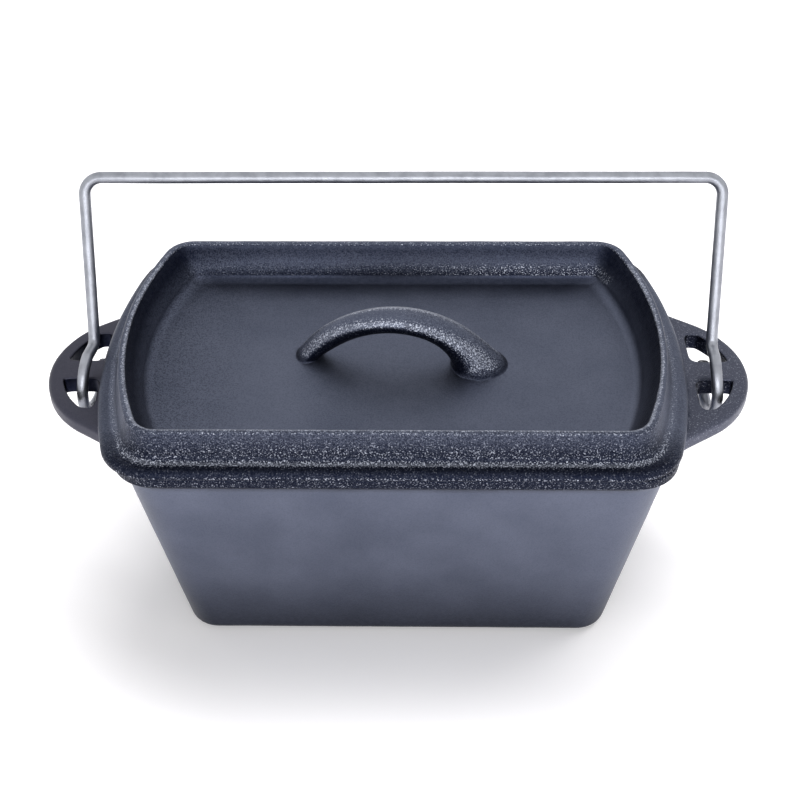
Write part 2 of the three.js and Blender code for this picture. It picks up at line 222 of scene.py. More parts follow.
def rescale(tree, value, fromLow, fromHigh, toLow, toHigh):
    node = addNode(tree, "ShaderNodeMapRange")
    node.inputs["From Min"].default_value = fromLow
    node.inputs["From Max"].default_value = fromHigh
    node.inputs["To Min"].default_value = toLow
    node.inputs["To Max"].default_value = toHigh
    tree.links.new(value, node.inputs["Value"])
    return node.outputs[0]


def mixNumber(tree, factor, low, high):
    return rescale(tree, factor, 0, 1, low, high)


def mixTone(tree, factor, first, second):
    node = addNode(tree, "ShaderNodeMix", data_type="RGBA")
    tree.links.new(factor, node.inputs["Factor"])
    for socket, value in ((node.inputs[6], first), (node.inputs[7], second)):  # its two colours
        if isinstance(value, tuple):
            socket.default_value = (*value, 1)
        else:
            tree.links.new(value, socket)
    return node.outputs[2]


def speckle(tree, place, size, detail, sharpness):
    node = addNode(tree, "ShaderNodeTexNoise")
    node.inputs["Scale"].default_value = 1 / (size * mm)
    node.inputs["Detail"].default_value = detail
    node.inputs["Roughness"].default_value = sharpness
    tree.links.new(place, node.inputs["Vector"])
    return node.outputs["Fac"]


def joinValues(tree, operation, first, second):
    node = addNode(tree, "ShaderNodeMath", operation=operation)
    for socket, value in zip(node.inputs, (first, second)):
        if isinstance(value, (int, float)):
            socket.default_value = value
        else:
            tree.links.new(value, socket)
    return node.outputs[0]


def painted(tree, name):
    return addNode(tree, "ShaderNodeAttribute", attribute_name=name).outputs["Fac"]


def startMetal(name, look):
    material = bpy.data.materials.new(name)
    material.use_nodes = True
    tree = material.node_tree
    shader = tree.nodes["Principled BSDF"]
    shader.inputs["Metallic"].default_value = look["metallic"]
    place = addNode(tree, "ShaderNodeTexCoord").outputs["Object"]
    return material, tree, shader, place


def addBump(tree, height, depth):
    bump = addNode(tree, "ShaderNodeBump")
    bump.inputs["Distance"].default_value = depth * mm
    tree.links.new(height, bump.inputs["Height"])
    return bump


def makeIron(name):
    look = ironLook
    material, tree, shader, place = startMetal(name, look)
    grain, wearAndHighlight = painted(tree, "grain"), painted(tree, "wearAndHighlight")
    paintedShade, warmth = painted(tree, "paintedShade"), painted(tree, "warmth")

    clouds = speckle(tree, place, *look["clouds"])
    sand = speckle(tree, place, *look["sand"])
    pits = speckle(tree, place, *look["pits"])

    cloudy = rescale(tree, clouds, *look["noiseSpan"], 0, 1)
    skin = mixTone(tree, cloudy, look["deepTone"], look["tone"])
    skin = mixTone(tree, warmth, skin, look["warmTone"])
    kept = rescale(tree, pits, *look["noiseSpan"], *look["pitShade"])
    # painted shade, broken up a little by the pits
    skin = mixTone(tree, joinValues(tree, "MULTIPLY", paintedShade, kept), skin, look["shadeTone"])
    # painted shade between the grains
    between = rescale(tree, sand, *look["sandDark"], 0, look["sandShade"])
    skin = mixTone(tree, joinValues(tree, "MULTIPLY", between, grain), skin, look["shadeTone"])
    # painted glints on grains that catch the light and, where the value is past 1, a smooth painted
    # sheen; on edges this also stands for wear
    spread = mixNumber(tree, wearAndHighlight, -look["sandSpread"], 0)
    caught = rescale(tree, joinValues(tree, "ADD", sand, spread), *look["sandBright"], 0, 1)
    wornAndLit = joinValues(tree, "MINIMUM", joinValues(tree, "MULTIPLY", wearAndHighlight, look["wearAndHighlightGain"]), 1)
    smoothSheen = rescale(tree, wearAndHighlight, 1, 2, 0, look["smoothSheenShare"])
    bright = joinValues(tree, "MAXIMUM", joinValues(tree, "MULTIPLY", caught, wornAndLit), smoothSheen)
    skin = mixTone(tree, bright, skin, look["wearAndHighlightTone"])
    tree.links.new(skin, shader.inputs["Base Color"])

    coarse = mixNumber(tree, grain, look["smoothRoughness"], look["coarseRoughness"])
    dulling = rescale(tree, clouds, *look["noiseSpan"], -look["dulling"], look["dulling"])
    tree.links.new(joinValues(tree, "ADD", coarse, dulling), shader.inputs["Roughness"])

    low = addBump(tree, pits, look["pitDepth"])
    high = addBump(tree, sand, look["sandDepth"])
    for bump in (low, high):
        tree.links.new(grain, bump.inputs["Strength"])
    tree.links.new(low.outputs[0], high.inputs["Normal"])
    tree.links.new(high.outputs[0], shader.inputs["Normal"])
    return material


# Galvanised wire: pale zinc with soft spangles, dull drawn marks and painted shade on the sides
# turned down or along the pot
zincLook = {
    "tone": (0.39, 0.405, 0.45),
    "darkTone": (0.3, 0.312, 0.35),
    # colour of the draw marks and of the painted shade
    "shadeAndMarkTone": (0.105, 0.112, 0.134),
    "metallic": 1,
    "roughness": (0.36, 0.48),
    "spangles": (7, 3, 0.6),   # size, detail and sharpness of each noise
    "grain": (0.9, 2, 0.55),
    "spangleSpan": (0.35, 0.6),
    "grainDepth": 0.12,
}


def makeZinc(name):
    look = zincLook
    material, tree, shader, place = startMetal(name, look)
    spangles = speckle(tree, place, *look["spangles"])
    grain = speckle(tree, place, *look["grain"])
    pale = rescale(tree, spangles, *look["spangleSpan"], 0, 1)
    tone = mixTone(tree, pale, look["darkTone"], look["tone"])
    # draw marks and painted shade
    tone = mixTone(tree, painted(tree, "shadeAndMarks"), tone, look["shadeAndMarkTone"])
    tree.links.new(tone, shader.inputs["Base Color"])
    tree.links.new(mixNumber(tree, spangles, *look["roughness"]), shader.inputs["Roughness"])
    bump = addBump(tree, grain, look["grainDepth"])
    tree.links.new(bump.outputs[0], shader.inputs["Normal"])
    return material


print("finishes ready")


# How finely the castings are divided
fineness = {
    "endSteps": 26,            # from the middle of a short end to its corner
    "cornerSteps": 10,
    "sideSteps": 90,           # along a long side
    "capRows": 44,
    "arcSteps": 7,
    "wallStep": 3,
    "sameGap": 1e-6,           # places nearer than this are one
    "sharpAngle": 40,
}


# Place between two others
def blend(start, end, share):
    return tuple(a + (b - a) * share for a, b in zip(start, end))


# How far a value has come from a start to an end, kept between 0 and 1
def ramp(value, start, end):
    return min(1, max(0, (value - start) / (end - start)))


def loafCentres(halfLength, halfWidth, endBow, cornerRadius):
    endRadius = (halfWidth**2 + endBow**2) / (2 * endBow)
    endCentre = halfLength - endRadius
    cornerY = halfWidth - cornerRadius
    cornerX = endCentre + math.sqrt((endRadius - cornerRadius) ** 2 - cornerY**2)
    return endRadius, endCentre, cornerX, cornerY

# Draw marks along the wire, and painted shade on the sides turned down or along the pot

# Plan outline with straight long sides, bowed short ends and round corners,
# anticlockwise from the middle of the +X end
def loafOutline(halfLength, halfWidth, endBow, cornerRadius):
    endRadius, endCentre, cornerX, cornerY = loafCentres(
        halfLength, halfWidth, endBow, cornerRadius)
    turn = math.atan2(cornerY, cornerX - endCentre)
    half = []
    for i in range(fineness["endSteps"]):
        angle = turn * i / fineness["endSteps"]
        half.append((endCentre + endRadius * math.cos(angle), endRadius * math.sin(angle)))
    for i in range(fineness["cornerSteps"] + 1):
        angle = turn + (math.pi / 2 - turn) * i / fineness["cornerSteps"]
        half.append((
            cornerX + cornerRadius * math.cos(angle),
            cornerY + cornerRadius * math.sin(angle),
        ))
    far = [(-x, y) for x, y in reversed(half)]
    for i in range(1, fineness["sideSteps"]):
        share = i / fineness["sideSteps"]
        half.append((cornerX * (1 - 2 * share), halfWidth))
    half += far
    return half + [(x, -y) for x, y in reversed(half[1:-1])]


# How far a place lies outside that outline, seen from above
def pastLoaf(place, halfLength, halfWidth, endBow, cornerRadius):
    x, y = abs(place.x), abs(place.y)
    endRadius, endCentre, cornerX, cornerY = loafCentres(
        halfLength, halfWidth, endBow, cornerRadius)
    if x > cornerX and y > cornerY:
        return math.hypot(x - cornerX, y - cornerY) - cornerRadius
    return max(y - halfWidth, math.hypot(x - endCentre, y) - endRadius)


# A section is a list of (offset, z, grain, wear and painted highlight); these two make runs of it
def arcRun(centreOffset, centreZ, radius, start, end, grain=0.5, wearAndHighlight=0.0, midWearAndHighlight=None):
    points = []
    steps = fineness["arcSteps"]
    for i in range(steps + 1):
        angle = math.radians(start + (end - start) * i / steps)
        edge = wearAndHighlight if midWearAndHighlight is None else wearAndHighlight + (midWearAndHighlight - wearAndHighlight) * math.sin(math.pi * i / steps)
        points.append((
            centreOffset + radius * math.cos(angle),
            centreZ + radius * math.sin(angle),
            grain,
            edge,
        ))
    return points


def joinRuns(*runs):
    section = []
    for run in runs:
        points = run if isinstance(run, list) else [run]
        if section:
            last, first = section[-1], points[0]
            gap = math.dist(last[:2], first[:2])
            count = max(1, round(gap / fineness["wallStep"]))
            section += [blend(last, first, i / count) for i in range(1, count)]
            if gap < fineness["sameGap"]:
                points = points[1:]
        section += points
    return section


# Faces between rings of vertices
def skinRings(shape, rings):
    for first, second in zip(rings, rings[1:]):
        for i in range(len(first)):
            j = (i + 1) % len(first)
            shape.faces.new((first[i], first[j], second[j], second[i]))


# The same, with one face over each end
def skinTube(shape, rings):
    skinRings(shape, rings)
    shape.faces.new(list(reversed(rings[0])))
    shape.faces.new(rings[-1])


# Closed casting: rings of an outline from the underside's cap, round the section, to the last cap
def castLoft(name, section, outlineAt):
    shape = bmesh.new()
    grainLayer = shape.verts.layers.float.new("grain")
    wearAndHighlightLayer = shape.verts.layers.float.new("wearAndHighlight")

    def addVertex(x, y, z, grain, wearAndHighlight):
        vertex = shape.verts.new((x * mm, y * mm, z * mm))
        vertex[grainLayer] = grain
        vertex[wearAndHighlightLayer] = wearAndHighlight
        return vertex

    rings = []
    for offset, z, grain, wearAndHighlight in section:
        rings.append([addVertex(x, y, z, grain, wearAndHighlight) for x, y in outlineAt(offset, z)])
    skinRings(shape, rings)
    for ring, last in ((rings[0], False), (rings[-1], True)):
        _, z, grain, wearAndHighlight = section[-1] if last else section[0]
        columns = []
        middle = len(ring) // 2
        for i in range(1, middle):
            top, bottom = ring[i], ring[-i]
            column = [top]
            for row in range(1, fineness["capRows"]):
                place = top.co.lerp(bottom.co, row / fineness["capRows"]) / mm
                column.append(addVertex(place.x, place.y, z, grain, wearAndHighlight))
            columns.append(column + [bottom])
        faces = []
        for left, right in zip(columns, columns[1:]):
            for k in range(fineness["capRows"]):
                faces.append((left[k], right[k], right[k + 1], left[k + 1]))
        for k in range(fineness["capRows"]):
            faces.append((ring[0], columns[0][k], columns[0][k + 1]))
            faces.append((ring[middle], columns[-1][k + 1], columns[-1][k]))
        for face in faces:
            shape.faces.new(face if last else tuple(reversed(face)))
    return addObject(name, shape)


# Object made from a bmesh, which is spent
def addObject(name, shape):
    mesh = bpy.data.meshes.new(name)
    shape.to_mesh(mesh)
    shape.free()
    thing = bpy.data.objects.new(name, mesh)
    scene.collection.objects.link(thing)
    return thing


def fuse(body, parts):
    for part in parts:
        modifier = body.modifiers.new("fuse", "BOOLEAN")
        modifier.operation = "UNION"
        modifier.solver = "EXACT"
        modifier.object = part
    graph = bpy.context.evaluated_depsgraph_get()
    joined = bpy.data.meshes.new_from_object(body.evaluated_get(graph))
    body.modifiers.clear()
    old = body.data
    joined.name = old.name + "Fused"
    body.data = joined
    bpy.data.meshes.remove(old)
    for part in parts:
        spent = part.data
        bpy.data.objects.remove(part)
        bpy.data.meshes.remove(spent)


# The mould's slight unevenness, always inward so that the casting keeps its size
mouldNoise = {
    "shift": (3.1, 1.7, 2.3),  # between one casting's waves and the next one's
    "smallWaves": 3.7,         # to one broad wave
    "smallShare": 0.25,
}


def noiseShare(spot):
    return 0.5 + 0.5 * noise.noise(spot)


def unevenSkin(thing, depth, size, seed):
    mesh = thing.data
    shift = Vector(mouldNoise["shift"]) * seed
    smallShare = mouldNoise["smallShare"]
    normals = [vertex.normal.copy() for vertex in mesh.vertices]
    for vertex, normal in zip(mesh.vertices, normals):
        spot = vertex.co / (size * mm) + shift
        broad, small = noiseShare(spot), noiseShare(spot * mouldNoise["smallWaves"])
        vertex.co -= normal * ((1 - smallShare) * broad + smallShare * small) * depth * mm


# Painted value of each vertex, from its place in millimetres and the way that it faces
def paint(thing, name, rule):
    mesh = thing.data
    values = mesh.attributes.get(name) or mesh.attributes.new(name, "FLOAT", "POINT")
    for vertex in mesh.vertices:
        before = values.data[vertex.index].value
        values.data[vertex.index].value = rule(vertex.co / mm, vertex.normal, before)


def finishMesh(thing, material):
    mesh = thing.data
    mesh.materials.clear()
    mesh.materials.append(material)
    mesh.shade_smooth()
    mesh.set_sharp_from_angle(angle=math.radians(fineness["sharpAngle"]))
    even = thing.modifiers.new("evenShading", "WEIGHTED_NORMAL")
    even.keep_sharp = True


# The pot: walls, rim band and two pierced ears in one casting
pot = {
    "height": 135.6,
    "halfLength": 146.3,
    "halfWidth": 88.2,
    "draft": 9,
    "wall": 4.6,
    "floor": 5.5,
    "endBow": 19,
    "corner": 22,
    "footCorner": 15,
    "footFillet": 6.5,
    "floorFillet": 9,
    "rimBand": 6.5,
    "rimProud": 3.6,
    "rimRound": 1.6,
    "bandTurn": 60,            # over which the band's lower edge is rounded
    "wallGrain": 0.16,
    "rimGrain": 0.9,
    "insideGrain": 0.4,
    "edgeWearAndHighlight": 0.35,
    "footShade": 0.9,
    "shadeTop": 60,             # height up to which the foot gets painted shade
    "shadePower": 1.5,
    "bandShade": 0.97,
    "bandShadeDrops": (2.6, 1.6),  # below the band, where its painted shade starts and where it is full
    "bandGlints": 0.28,
    "glintsFrom": 60,            # the band's painted glints reach this far from the middle, on the long sides, and from this far below it
    "glintsDrop": 0.5,           # and from this far below it
    "uneven": (0.28, 16, 1),   # depth, size of the waves and seed
}
ear = {
    "top": 129.4,
    "thickness": 10.4,
    "centreX": 134.17,
    "radius": 50,
    "flank": 56,
    "edgeRound": 3,
    "holeRound": 1.3,
    "bridge": 15.5,
    "holeRadius": 41.5,
    "holeInnerX": 155.5,
    "holeEndY": 31,
    "holeCorner": 5.5,
    "rootDepth": 2.3,
    "rootX": 142,
    "rootBlend": 4,
    "spacing": 2.4,
    "crowdShare": 0.7,         # of the spacing, which points on its faces keep from each other
    "cornerReachShare": 0.45,  # of a hole's side, which a rounded corner takes at most
    "edgeShares": (0.4, 0.6),  # heights of the rings between its rounded edges
    "arcSteps": 60,
    "holeArcSteps": 8,
    "cornerSteps": 6,
    "roundSteps": 5,
    "leftGrain": 0.35,
    "rightGrain": 0.85,        # the right ear's skin is sandier and greyer
    "edgeWearAndHighlight": 0.3,
    "faceSpecks": 0.2,
    "leftWarmth": 0.75,
    "rightWarmth": 0.35,
    "leftShade": 0.3,
    "rightShade": 0.22,
    "paintMargin": 0.2,        # past its faces, and
    "holeMargin": 1,           # past its holes' edges, where paint still counts as theirs
    "bandBlend": (0.1, 0.5),   # past the rim band, where the pot's paint passes into the ear's
    "wallBlend": (0.4, 2.5),   # and past the wall
}
rimBottom = pot["height"] - pot["rimBand"]


def potOutline(offset, z):
    corner = pot["corner"] + (pot["footCorner"] - pot["corner"]) * ramp(z, rimBottom, 0)
    return loafOutline(pot["halfLength"] + offset, pot["halfWidth"] + offset, pot["endBow"], corner)


def wallOffset(z):
    return -(rimBottom - z) * math.tan(math.radians(pot["draft"]))


def potSection():
    lean = pot["draft"]
    rise = 1 - math.sin(math.radians(lean))
    reach = math.cos(math.radians(lean))
    foot, rounding, proud = pot["footFillet"], pot["rimRound"], pot["rimProud"]
    inner, height, wall = pot["floorFillet"], pot["height"], pot["wall"]
    skin, rim, inside, wornAndLit = pot["wallGrain"], pot["rimGrain"], pot["insideGrain"], pot["edgeWearAndHighlight"]
    footCentre = wallOffset(foot * rise) - foot * reach
    innerCentre = wallOffset(pot["floor"] + inner * rise) - wall - inner * reach
    return joinRuns(
        arcRun(footCentre, foot, foot, -90, -lean, skin),
        (wallOffset(rimBottom - proud), rimBottom - proud, skin, 0),
        # the rim's rounded edges carry wear and a painted highlight along their middle
        arcRun(proud - rounding, rimBottom + rounding, rounding, -pot["bandTurn"], 0, rim, 0, wornAndLit),
        arcRun(proud - rounding, height - rounding, rounding, 0, 90, rim, 0, wornAndLit),
        arcRun(-wall + rounding, height - rounding, rounding, 90, 180, rim, 0, wornAndLit),
        (-wall, rimBottom, inside, 0),
        arcRun(innerCentre, pot["floor"] + inner, inner, -lean, -90, inside),
    )


# Place towards another one, but not too far along
def towards(start, end, distance):
    return blend(start, end, min(distance / math.dist(start, end), ear["cornerReachShare"]))


# Loop through the same corners with points at an even spacing
def evenLoop(corners, spacing):
    loop = []
    for here, after in zip(corners, corners[1:] + corners[:1]):
        count = max(1, round(math.dist(here, after) / spacing))
        loop += [blend(here, after, k / count) for k in range(count)]
    return loop


# Outer edge of an ear; its root follows the middle of the pot's wall
def earEdge():
    flank = math.radians(ear["flank"])
    points = []
    for i in range(ear["arcSteps"] + 1):
        angle = -flank + 2 * flank * i / ear["arcSteps"]
        points.append((
            ear["centreX"] + ear["radius"] * math.cos(angle),
            ear["radius"] * math.sin(angle),
        ))
    tangentX, tangentY = points[-1]
    wall = potOutline(-ear["rootDepth"], ear["top"] - ear["thickness"] / 2)
    quarter = [(x, y) for x, y in wall[: len(wall) // 4] if x > 0]
    slopeX, slopeY = -math.sin(flank), math.cos(flank)

    def pastFlank(point):  # on the ear's side of the flank's line
        return (point[0] - tangentX) * slopeY - (point[1] - tangentY) * slopeX

    crossing = next(i for i, point in enumerate(quarter) if pastFlank(point) >= 0)
    inside, last = quarter[:crossing], quarter[crossing]
    near, far = pastFlank(inside[-1]), pastFlank(last)
    root = blend(inside[-1], last, near / (near - far))
    upper = [root] + list(reversed(inside))
    lower = [(x, -y) for x, y in inside[1:]] + [(root[0], -root[1])]
    return evenLoop(points + upper + lower, ear["spacing"])


def earHole(side):
    nearY, farY, innerX = ear["bridge"] / 2, ear["holeEndY"], ear["holeInnerX"]
    radius, rounding, steps = ear["holeRadius"], ear["holeCorner"], ear["holeArcSteps"]
    first, last = math.asin(nearY / radius), math.asin(farY / radius)
    corners = [((innerX, nearY), rounding)]
    for i in range(steps + 1):
        angle = first + (last - first) * i / steps
        place = (ear["centreX"] + radius * math.cos(angle), radius * math.sin(angle))
        corners.append((place, rounding if i in (0, steps) else 0))
    corners.append(((innerX, farY), rounding))
    points = []
    for i, (corner, rounded) in enumerate(corners):
        if not rounded:
            points.append(corner)
            continue
        enter = towards(corner, corners[i - 1][0], rounded)
        leave = towards(corner, corners[(i + 1) % len(corners)][0], rounded)
        for k in range(ear["cornerSteps"] + 1):
            share = k / ear["cornerSteps"]
            points.append(blend(blend(enter, corner, share), blend(corner, leave, share), share))
    loop = evenLoop(points, ear["spacing"])
    return loop if side > 0 else [(x, -y) for x, y in reversed(loop)]


# The same loop, moved inward
def insetLoop(loop, distance):
    moved = []
    for i, (x, y) in enumerate(loop):
        (x0, y0), (x1, y1) = loop[i - 1], loop[(i + 1) % len(loop)]
        length = math.hypot(x1 - x0, y1 - y0)
        moved.append((x - (y1 - y0) / length * distance, y + (x1 - x0) / length * distance))
    return moved


def isInside(point, loop):
    crossed = False
    for (x0, y0), (x1, y1) in zip(loop, loop[1:] + loop[:1]):
        if (y0 > point[1]) != (y1 > point[1]):
            if point[0] < x0 + (point[1] - y0) * (x1 - x0) / (y1 - y0):
                crossed = not crossed
    return crossed


def gapTo(point, others):
    return min(math.dist(point, other) for other in others)


# Triangles over the flat face between an outer loop and the holes in it
def faceOver(loops, spacing):
    outer, holes = loops[0], loops[1:]

    def isOnFace(point):
        return isInside(point, outer) and not any(isInside(point, hole) for hole in holes)

    points = [point for loop in loops for point in loop]
    edges = []
    for loop in loops:
        start = len(edges)
        edges += [(start + i, start + (i + 1) % len(loop)) for i in range(len(loop))]
    xs, ys = zip(*outer)
    x = min(xs)
    while x < max(xs):
        y = min(ys)
        while y < max(ys):
            spot = (x, y)
            if isOnFace(spot) and gapTo(spot, points) > spacing * ear["crowdShare"]:
                points.append(spot)
            y += spacing
        x += spacing
    flat = [Vector(point) for point in points]
    places, _, faces, origins = geometry.delaunay_2d_cdt(flat, edges, [], 0, fineness["sameGap"])[:4]
    triangles = []
    for face in faces:
        centre = sum((places[i] for i in face), Vector((0, 0))) / len(face)
        if isOnFace(centre):
            triangles.append(face)
    return places, triangles, origins


# Keeps a point at the ear's root where it starts, and moves one further out
def fadeToRoot(start, end):
    return blend(start, end, ramp(start[0], ear["rootX"], ear["rootX"] + ear["rootBlend"]))


def earPlate(name, mirrored):
    outer = earEdge()
    holes = [earHole(1), earHole(-1)]
    bottom, top = ear["top"] - ear["thickness"], ear["top"]
    shape = bmesh.new()
    grainLayer = shape.verts.layers.float.new("grain")
    wearAndHighlightLayer = shape.verts.layers.float.new("wearAndHighlight")
    turn = -1 if mirrored else 1

    def addVertex(point, z, wearAndHighlight):
        vertex = shape.verts.new((turn * point[0] * mm, turn * point[1] * mm, z * mm))
        vertex[grainLayer] = ear["leftGrain"] if mirrored else ear["rightGrain"]
        vertex[wearAndHighlightLayer] = wearAndHighlight
        return vertex

    def levels(rounded):
        steps = ear["roundSteps"]
        run = []
        for i in range(steps + 1):
            angle = math.pi / 2 * i / steps
            inset, rise = rounded * (1 - math.sin(angle)), rounded * (1 - math.cos(angle))
            # wear and a painted highlight along the middle of each rounded edge
            run.append((inset, bottom + rise, ear["edgeWearAndHighlight"] * math.sin(2 * angle)))
        straight = [(0, bottom + (top - bottom) * share, 0) for share in ear["edgeShares"]]
        upper = [(inset, top + bottom - z, wearAndHighlight) for inset, z, wearAndHighlight in reversed(run)]
        return run + straight + upper

    firstRings, lastRings = [], []
    sides = [(outer, ear["edgeRound"], 1)] + [(hole, ear["holeRound"], -1) for hole in holes]
    for loop, rounded, sign in sides:
        rings = []
        for inset, z, wearAndHighlight in levels(rounded):
            moved = insetLoop(loop, inset * sign)
            if sign > 0:  # the root keeps its full outline inside the wall
                moved = [fadeToRoot(start, end) for start, end in zip(loop, moved)]
            rings.append([addVertex(p, z, wearAndHighlight) for p in moved])
        for lower, upper in zip(rings, rings[1:]):
            for i in range(len(loop)):
                j = (i + 1) % len(loop)
                face = (lower[i], lower[j], upper[j], upper[i])
                shape.faces.new(face if sign > 0 else tuple(reversed(face)))
        firstRings.append(rings[0])
        lastRings.append(rings[-1])
    for rings, z, facesUp in ((firstRings, bottom, False), (lastRings, top, True)):
        loops = [[(turn * v.co.x / mm, turn * v.co.y / mm) for v in ring] for ring in rings]
        points, triangles, origins = faceOver(loops, ear["spacing"])
        known = [vertex for ring in rings for vertex in ring]
        placed = []
        for point, origin in zip(points, origins):
            old = [k for k in origin if k < len(known)]
            placed.append(known[old[0]] if old else addVertex(point, z, 0))
        for face in triangles:
            corners = [placed[i] for i in face]
            shape.faces.new(corners if facesUp else list(reversed(corners)))
    return addObject(name, shape)


# How far a place lies outside the pot's wall, or outside its upper end beside the rim band
def pastWall(place):
    offset = wallOffset(min(place.z, rimBottom))
    return pastLoaf(
        place, pot["halfLength"] + offset, pot["halfWidth"] + offset, pot["endBow"], pot["corner"])


# 1 on an ear, 0 on the pot, with a short blend at the root
def earShare(place):
    bottom = ear["top"] - ear["thickness"]
    if not bottom - ear["paintMargin"] < place.z < ear["top"] + ear["paintMargin"]:
        return 0
    past = pastWall(place)
    if place.z > rimBottom - pot["rimProud"]:
        return ramp(past - pot["rimProud"], *ear["bandBlend"])
    return ramp(past, *ear["wallBlend"])


def isInHole(place):
    far = math.hypot(abs(place.x) - ear["centreX"], place.y)
    margin = ear["holeMargin"]
    return far < ear["holeRadius"] + margin and abs(place.y) > ear["bridge"] / 2 - margin


# Painted shade on the pot: black inside the ears' holes, growing down towards the foot where it
# meets the floor, dark over the rim band and above it, and an even darkening on the ears
def potShade(place, facing, _before):
    onEar = earShare(place)
    facesUp, facesAside = facing.z > 0.5, abs(facing.z) < 0.5
    if onEar > 0.5 and facesAside and isInHole(place):
        return 1
    onFloor = facesUp and place.z < rimBottom - pot["rimProud"]
    foot = 0 if onFloor else pot["footShade"] * ramp(place.z, pot["shadeTop"], 0) ** pot["shadePower"]
    start, full = pot["bandShadeDrops"]
    band = pot["bandShade"] * ramp(place.z, rimBottom - start, rimBottom - full)
    skin = ear["rightShade"] if place.x > 0 else ear["leftShade"]
    return max(foot, band) * (1 - onEar) + skin * onEar


# Painted glints on the long sides of the rim band, bright specks on the right ear's faces, and the
# edge values kept
def potWearAndGlints(place, _facing, before):
    onBand = place.z > rimBottom - pot["glintsDrop"] and abs(place.y) > pot["glintsFrom"]
    onRightEar = earShare(place) if place.x > 0 else 0
    return max(before, pot["bandGlints"] if onBand else 0, ear["faceSpecks"] * onRightEar)


def potWarmth(place, _facing, _before):
    return earShare(place) * (ear["rightWarmth"] if place.x > 0 else ear["leftWarmth"])


def makePot(iron):
    body = castLoft("pot_casting", potSection(), potOutline)
    fuse(body, [earPlate("earRight", False), earPlate("earLeft", True)])
    paint(body, "paintedShade", potShade)
    paint(body, "wearAndHighlight", potWearAndGlints)
    paint(body, "warmth", potWarmth)
    unevenSkin(body, *pot["uneven"])
    finishMesh(body, iron)
    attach(body, "pot")
    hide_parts("pot_body")
    return body


iron = makeIron("seasonedIron")
potCasting = makePot(iron)
print("pot cast:", len(potCasting.data.polygons), "faces")


# The lid: sunk plug, flange, raised lip, tray and arch handle in one casting
lid = {
    "seatGap": 0.3,
    "halfLength": 139.6,
    "halfWidth": 82,
    "endBow": 16.5,
    "corner": 16,
    "flangeReach": 11.4,
    "flangeThickness": 5,
    "flangeRound": 3.4,
    "wallHeight": 15.7,
    "wallLean": 2,
    "wallFillet": 4.4,
    "lip": 3.8,
    "lipRound": 1.5,
    "trayLean": 6.5,
    "trayFillet": 5,
    "plate": 4.6,
    "plugDepth": 4.1,
    "plugClearance": 2.8,
    "plugRound": 2.5,
    "seamStep": 0.01,          # from the plug's last ring up to the flange's underside
    "underRound": 1.1,
    "shiftX": -1.96,
    "uneven": (0.26, 14, 2),   # depth, size of the waves and seed
    "sideY": (60, 84),         # from the middle, where a long side's paint starts and is full
    "lipMargin": 0.5,          # what lies further inside the lip than this is in the tray
    "flangeGrain": 0.95,
    "wallGrain": 0.85,
    "plugGrain": 0.5,
    "trayGrain": 0.26,
    "trayDrop": 4,             # below the lip, where the tray's own grain starts
    "endGrain": 0.42,          # more of it at the floor's left end
    "endGrainX": (70, 118),    # this far to the left
    "rearGrainShare": 0.4,
    # wear and a painted highlight on the lip's rounded edges
    "lipWearAndHighlight": 0.55,
    "innerLipShare": 0.6,     # of it, on the lip's inner side
    "edgeWearAndHighlight": (1.5, 1.25, 0.4),  # wear and a painted highlight on that side's edge: in front, at the ends, at the rear
    "edgeDrop": 1.2,           # how deep that edge reaches
    "filletHighlight": 1.25,        # a painted highlight line at the raised wall's foot
    "filletStart": (3, 3.9),   # past the lip, where this starts and is full
    "filletEnd": (6.7, 5.4),   # and where it ends and is still full
    "filletMargin": 0.2,
    "rimHighlight": 0.62,           # a painted highlight in a line along the flange's edge
    "rimRise": 1.8,
    "rimBlend": (0.9, 0.3),
    # painted glints on the raised wall, more towards its foot, and on the flange
    "wallGlints": 0.42,
    "wallGlintsTop": 0.35,       # share of it at the wall's top
    "wallStart": 2,            # over the flange
    "wallFade": (3, 5),        # below the lip and over the flange, between which it grows
    "flangeGlints": 0.12,
    # share of the painted highlights and glints at the rear, away from the front lamp
    "rearHighlightShare": 0.3,
    "backFoot": (3.5, 8),      # heights over the tray's floor of its back wall's foot
    "backGrain": 0.8,
    "backHighlight": (0.12, 0.5),   # a painted highlight line there, at the left and at the right
    "backHighlightX": (-40, 60),
    # painted shade on the raised wall's outside, on the long sides, growing to its foot
    "wallShade": 0.8,
    "wallShadeTop": 0.6,        # share of it at the wall's top
    "flangeShade": 0.92,        # painted shade outside the raised wall, down to the seam
    "flangeStart": 6.6,        # past the lip
    "flangeMargin": 0.1,
    "leftShare": 0.4,          # of it at the lid's two ends
    "rightShare": 0.14,
    "trayShade": 0.03,
    "plateMargin": 1,          # over the plate's underside, which has none
    "lipFade": 1,              # below the lip's top, which has none
    "leftShade": 0.97,          # painted shade on the tray's two end walls
    "rightShade": 0.99,
    "leftLow": 0.26,           # shares of it low down
    "rightLow": 0.62,
    "endRise": (5, 13),        # heights over the floor between which it grows
    "endPast": (-5, -1),       # past the tray's edge, where it starts and is full
    "endFrom": (32, 46),       # how much further out in x than in y its places are
    "backShade": (0.4, 0.75),   # painted shade on the tray's back wall, low and high
    "backRise": (7, 16),
    "backY": (30, 50),
    "footShade": 0.78,          # painted shade where the tray's back wall meets its floor
    "footPast": (-22, -3),     # past the tray's edge, where it starts and is full
    "footPower": 1.4,
}
